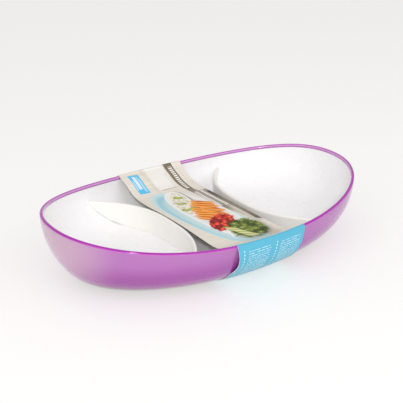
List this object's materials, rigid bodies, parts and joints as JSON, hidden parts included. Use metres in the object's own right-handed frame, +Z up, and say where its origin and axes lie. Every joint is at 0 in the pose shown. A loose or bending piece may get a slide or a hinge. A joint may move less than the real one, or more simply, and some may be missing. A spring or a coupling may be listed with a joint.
{
  "type": "chip and dip server",
  "caption": "Boat-shaped double-walled oval serving bowl with two bowed lift-out dividers and a printed board sleeve wrapped round its middle.",
  "frame": {"origin": "middle of the underside, on the surface that the server stands on, which is the lower face of the board sleeve", "axes": "+Z up; +X along the bowl toward its right end as seen from the near side; +Y away from the near side"},
  "size_m": [0.35, 0.2186, 0.0692],
  "materials": {
    "tinted_shell": "tinted see-through purple plastic, polished rim, satin body",
    "white_liner": "smooth white plastic",
    "cream_plastic": "smooth warm white plastic",
    "printed_board": "coated paperboard, printed in blue, beige and a food picture"
  },
  "bodies": {
    "bowl": {"outer_shell": "tinted_shell", "inner_bowl": "white_liner", "sleeve": "printed_board"},
    "left_divider": {"left_divider": "cream_plastic"},
    "right_divider": {"right_divider": "cream_plastic"}
  },
  "joints": [
    {"name": "left_divider_lift", "type": "slide", "parent": "bowl", "child": "left_divider", "axis": [0, 0, 1], "range_m": [0, 0.07]},
    {"name": "right_divider_lift", "type": "slide", "parent": "bowl", "child": "right_divider", "axis": [0, 0, 1], "range_m": [0, 0.07]}
  ]
}
